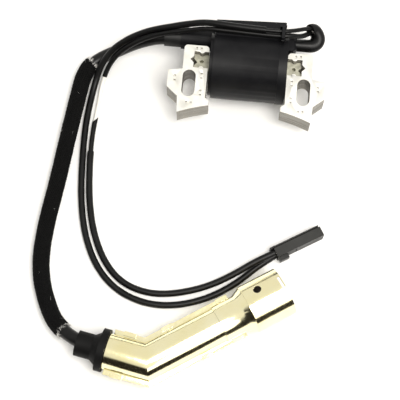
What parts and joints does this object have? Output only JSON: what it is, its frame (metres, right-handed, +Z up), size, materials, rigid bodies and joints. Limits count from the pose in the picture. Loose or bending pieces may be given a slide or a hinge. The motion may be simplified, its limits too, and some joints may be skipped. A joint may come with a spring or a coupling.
{
  "type": "ignition coil",
  "caption": "Small-engine ignition coil: steel core with two slotted pole legs, moulded coil, braided high-tension lead with angled metal-shielded plug cap, and two wires to a flat connector.",
  "frame": {"origin": "midway between the centres of the two bolt slots, on the underside of the steel core", "axes": "+X from the left core leg to the right one, +Y away from the flywheel, +Z up through the core, along the bolts"},
  "size_m": [0.1424, 0.1861, 0.0363],
  "materials": {
    "core_steel": "satin",
    "bar_steel": "satin",
    "case_plastic": "satin",
    "bobbin_plastic": "matte",
    "copper_wire": "enamelled",
    "potting_resin": "gloss",
    "board": "matte",
    "component_plastic": "matte",
    "component_ceramic": "satin",
    "brass": "polished",
    "screw_steel": "plated",
    "lead_rubber": "satin",
    "gland_rubber": "satin",
    "boot_rubber": "matte",
    "braid": "braided",
    "wire_black": "gloss",
    "wire_white": "satin",
    "sleeve_vinyl": "satin",
    "shield_metal": "tin plated",
    "insulator_resin": "moulded",
    "seal_rubber": "matte",
    "connector_plastic": "satin"
  },
  "bodies": {
    "coil": {"core_leg_left": "core_steel", "core_leg_right": "core_steel", "core_bar": "bar_steel", "primary_bobbin": "bobbin_plastic", "primary_winding": "copper_wire", "secondary_bobbin": "bobbin_plastic", "secondary_winding": "copper_wire", "coil_case": "case_plastic", "potting_fill": "potting_resin", "control_board": "board", "power_transistor": "component_plastic", "base_resistor": "component_ceramic", "hv_terminal": "brass", "lead_gland": "gland_rubber", "hv_lead": "lead_rubber", "lead_braid": "braid", "cap_boot": "boot_rubber", "exit_sleeve": "sleeve_vinyl", "primary_wire_1": "wire_black", "primary_wire_2": "wire_white", "wire_sleeve_1": "sleeve_vinyl", "wire_sleeve_2_upper": "sleeve_vinyl", "wire_sleeve_2_thin": "sleeve_vinyl", "wire_sleeve_2_lower": "sleeve_vinyl", "connector_housing": "connector_plastic", "connector_terminal_1": "brass", "connector_terminal_2": "brass"},
    "plug_cap": {"shield_upper": "shield_metal", "shield_lower": "shield_metal", "shield_socket": "shield_metal", "socket_seal": "seal_rubber", "cap_insulator": "insulator_resin", "lead_screw": "screw_steel", "suppressor_resistor": "component_ceramic", "resistor_spring": "screw_steel", "plug_clip": "brass"},
    "latch": {"connector_latch": "connector_plastic"}
  },
  "joints": [
    {"name": "plug_cap_swivel", "type": "hinge", "parent": "coil", "child": "plug_cap", "pos_m": [-0.05507, -0.13445, 0], "axis": [0.9833, -0.1822, 0], "range_deg": [0, 180]},
    {"name": "connector_latch_press", "type": "hinge", "parent": "coil", "child": "latch", "pos_m": [0.03112, -0.07451, -0.0075], "axis": [0, 0, 1], "range_deg": [-2.2, 0], "stiffness_Nm_per_rad": 0.05}
  ]
}
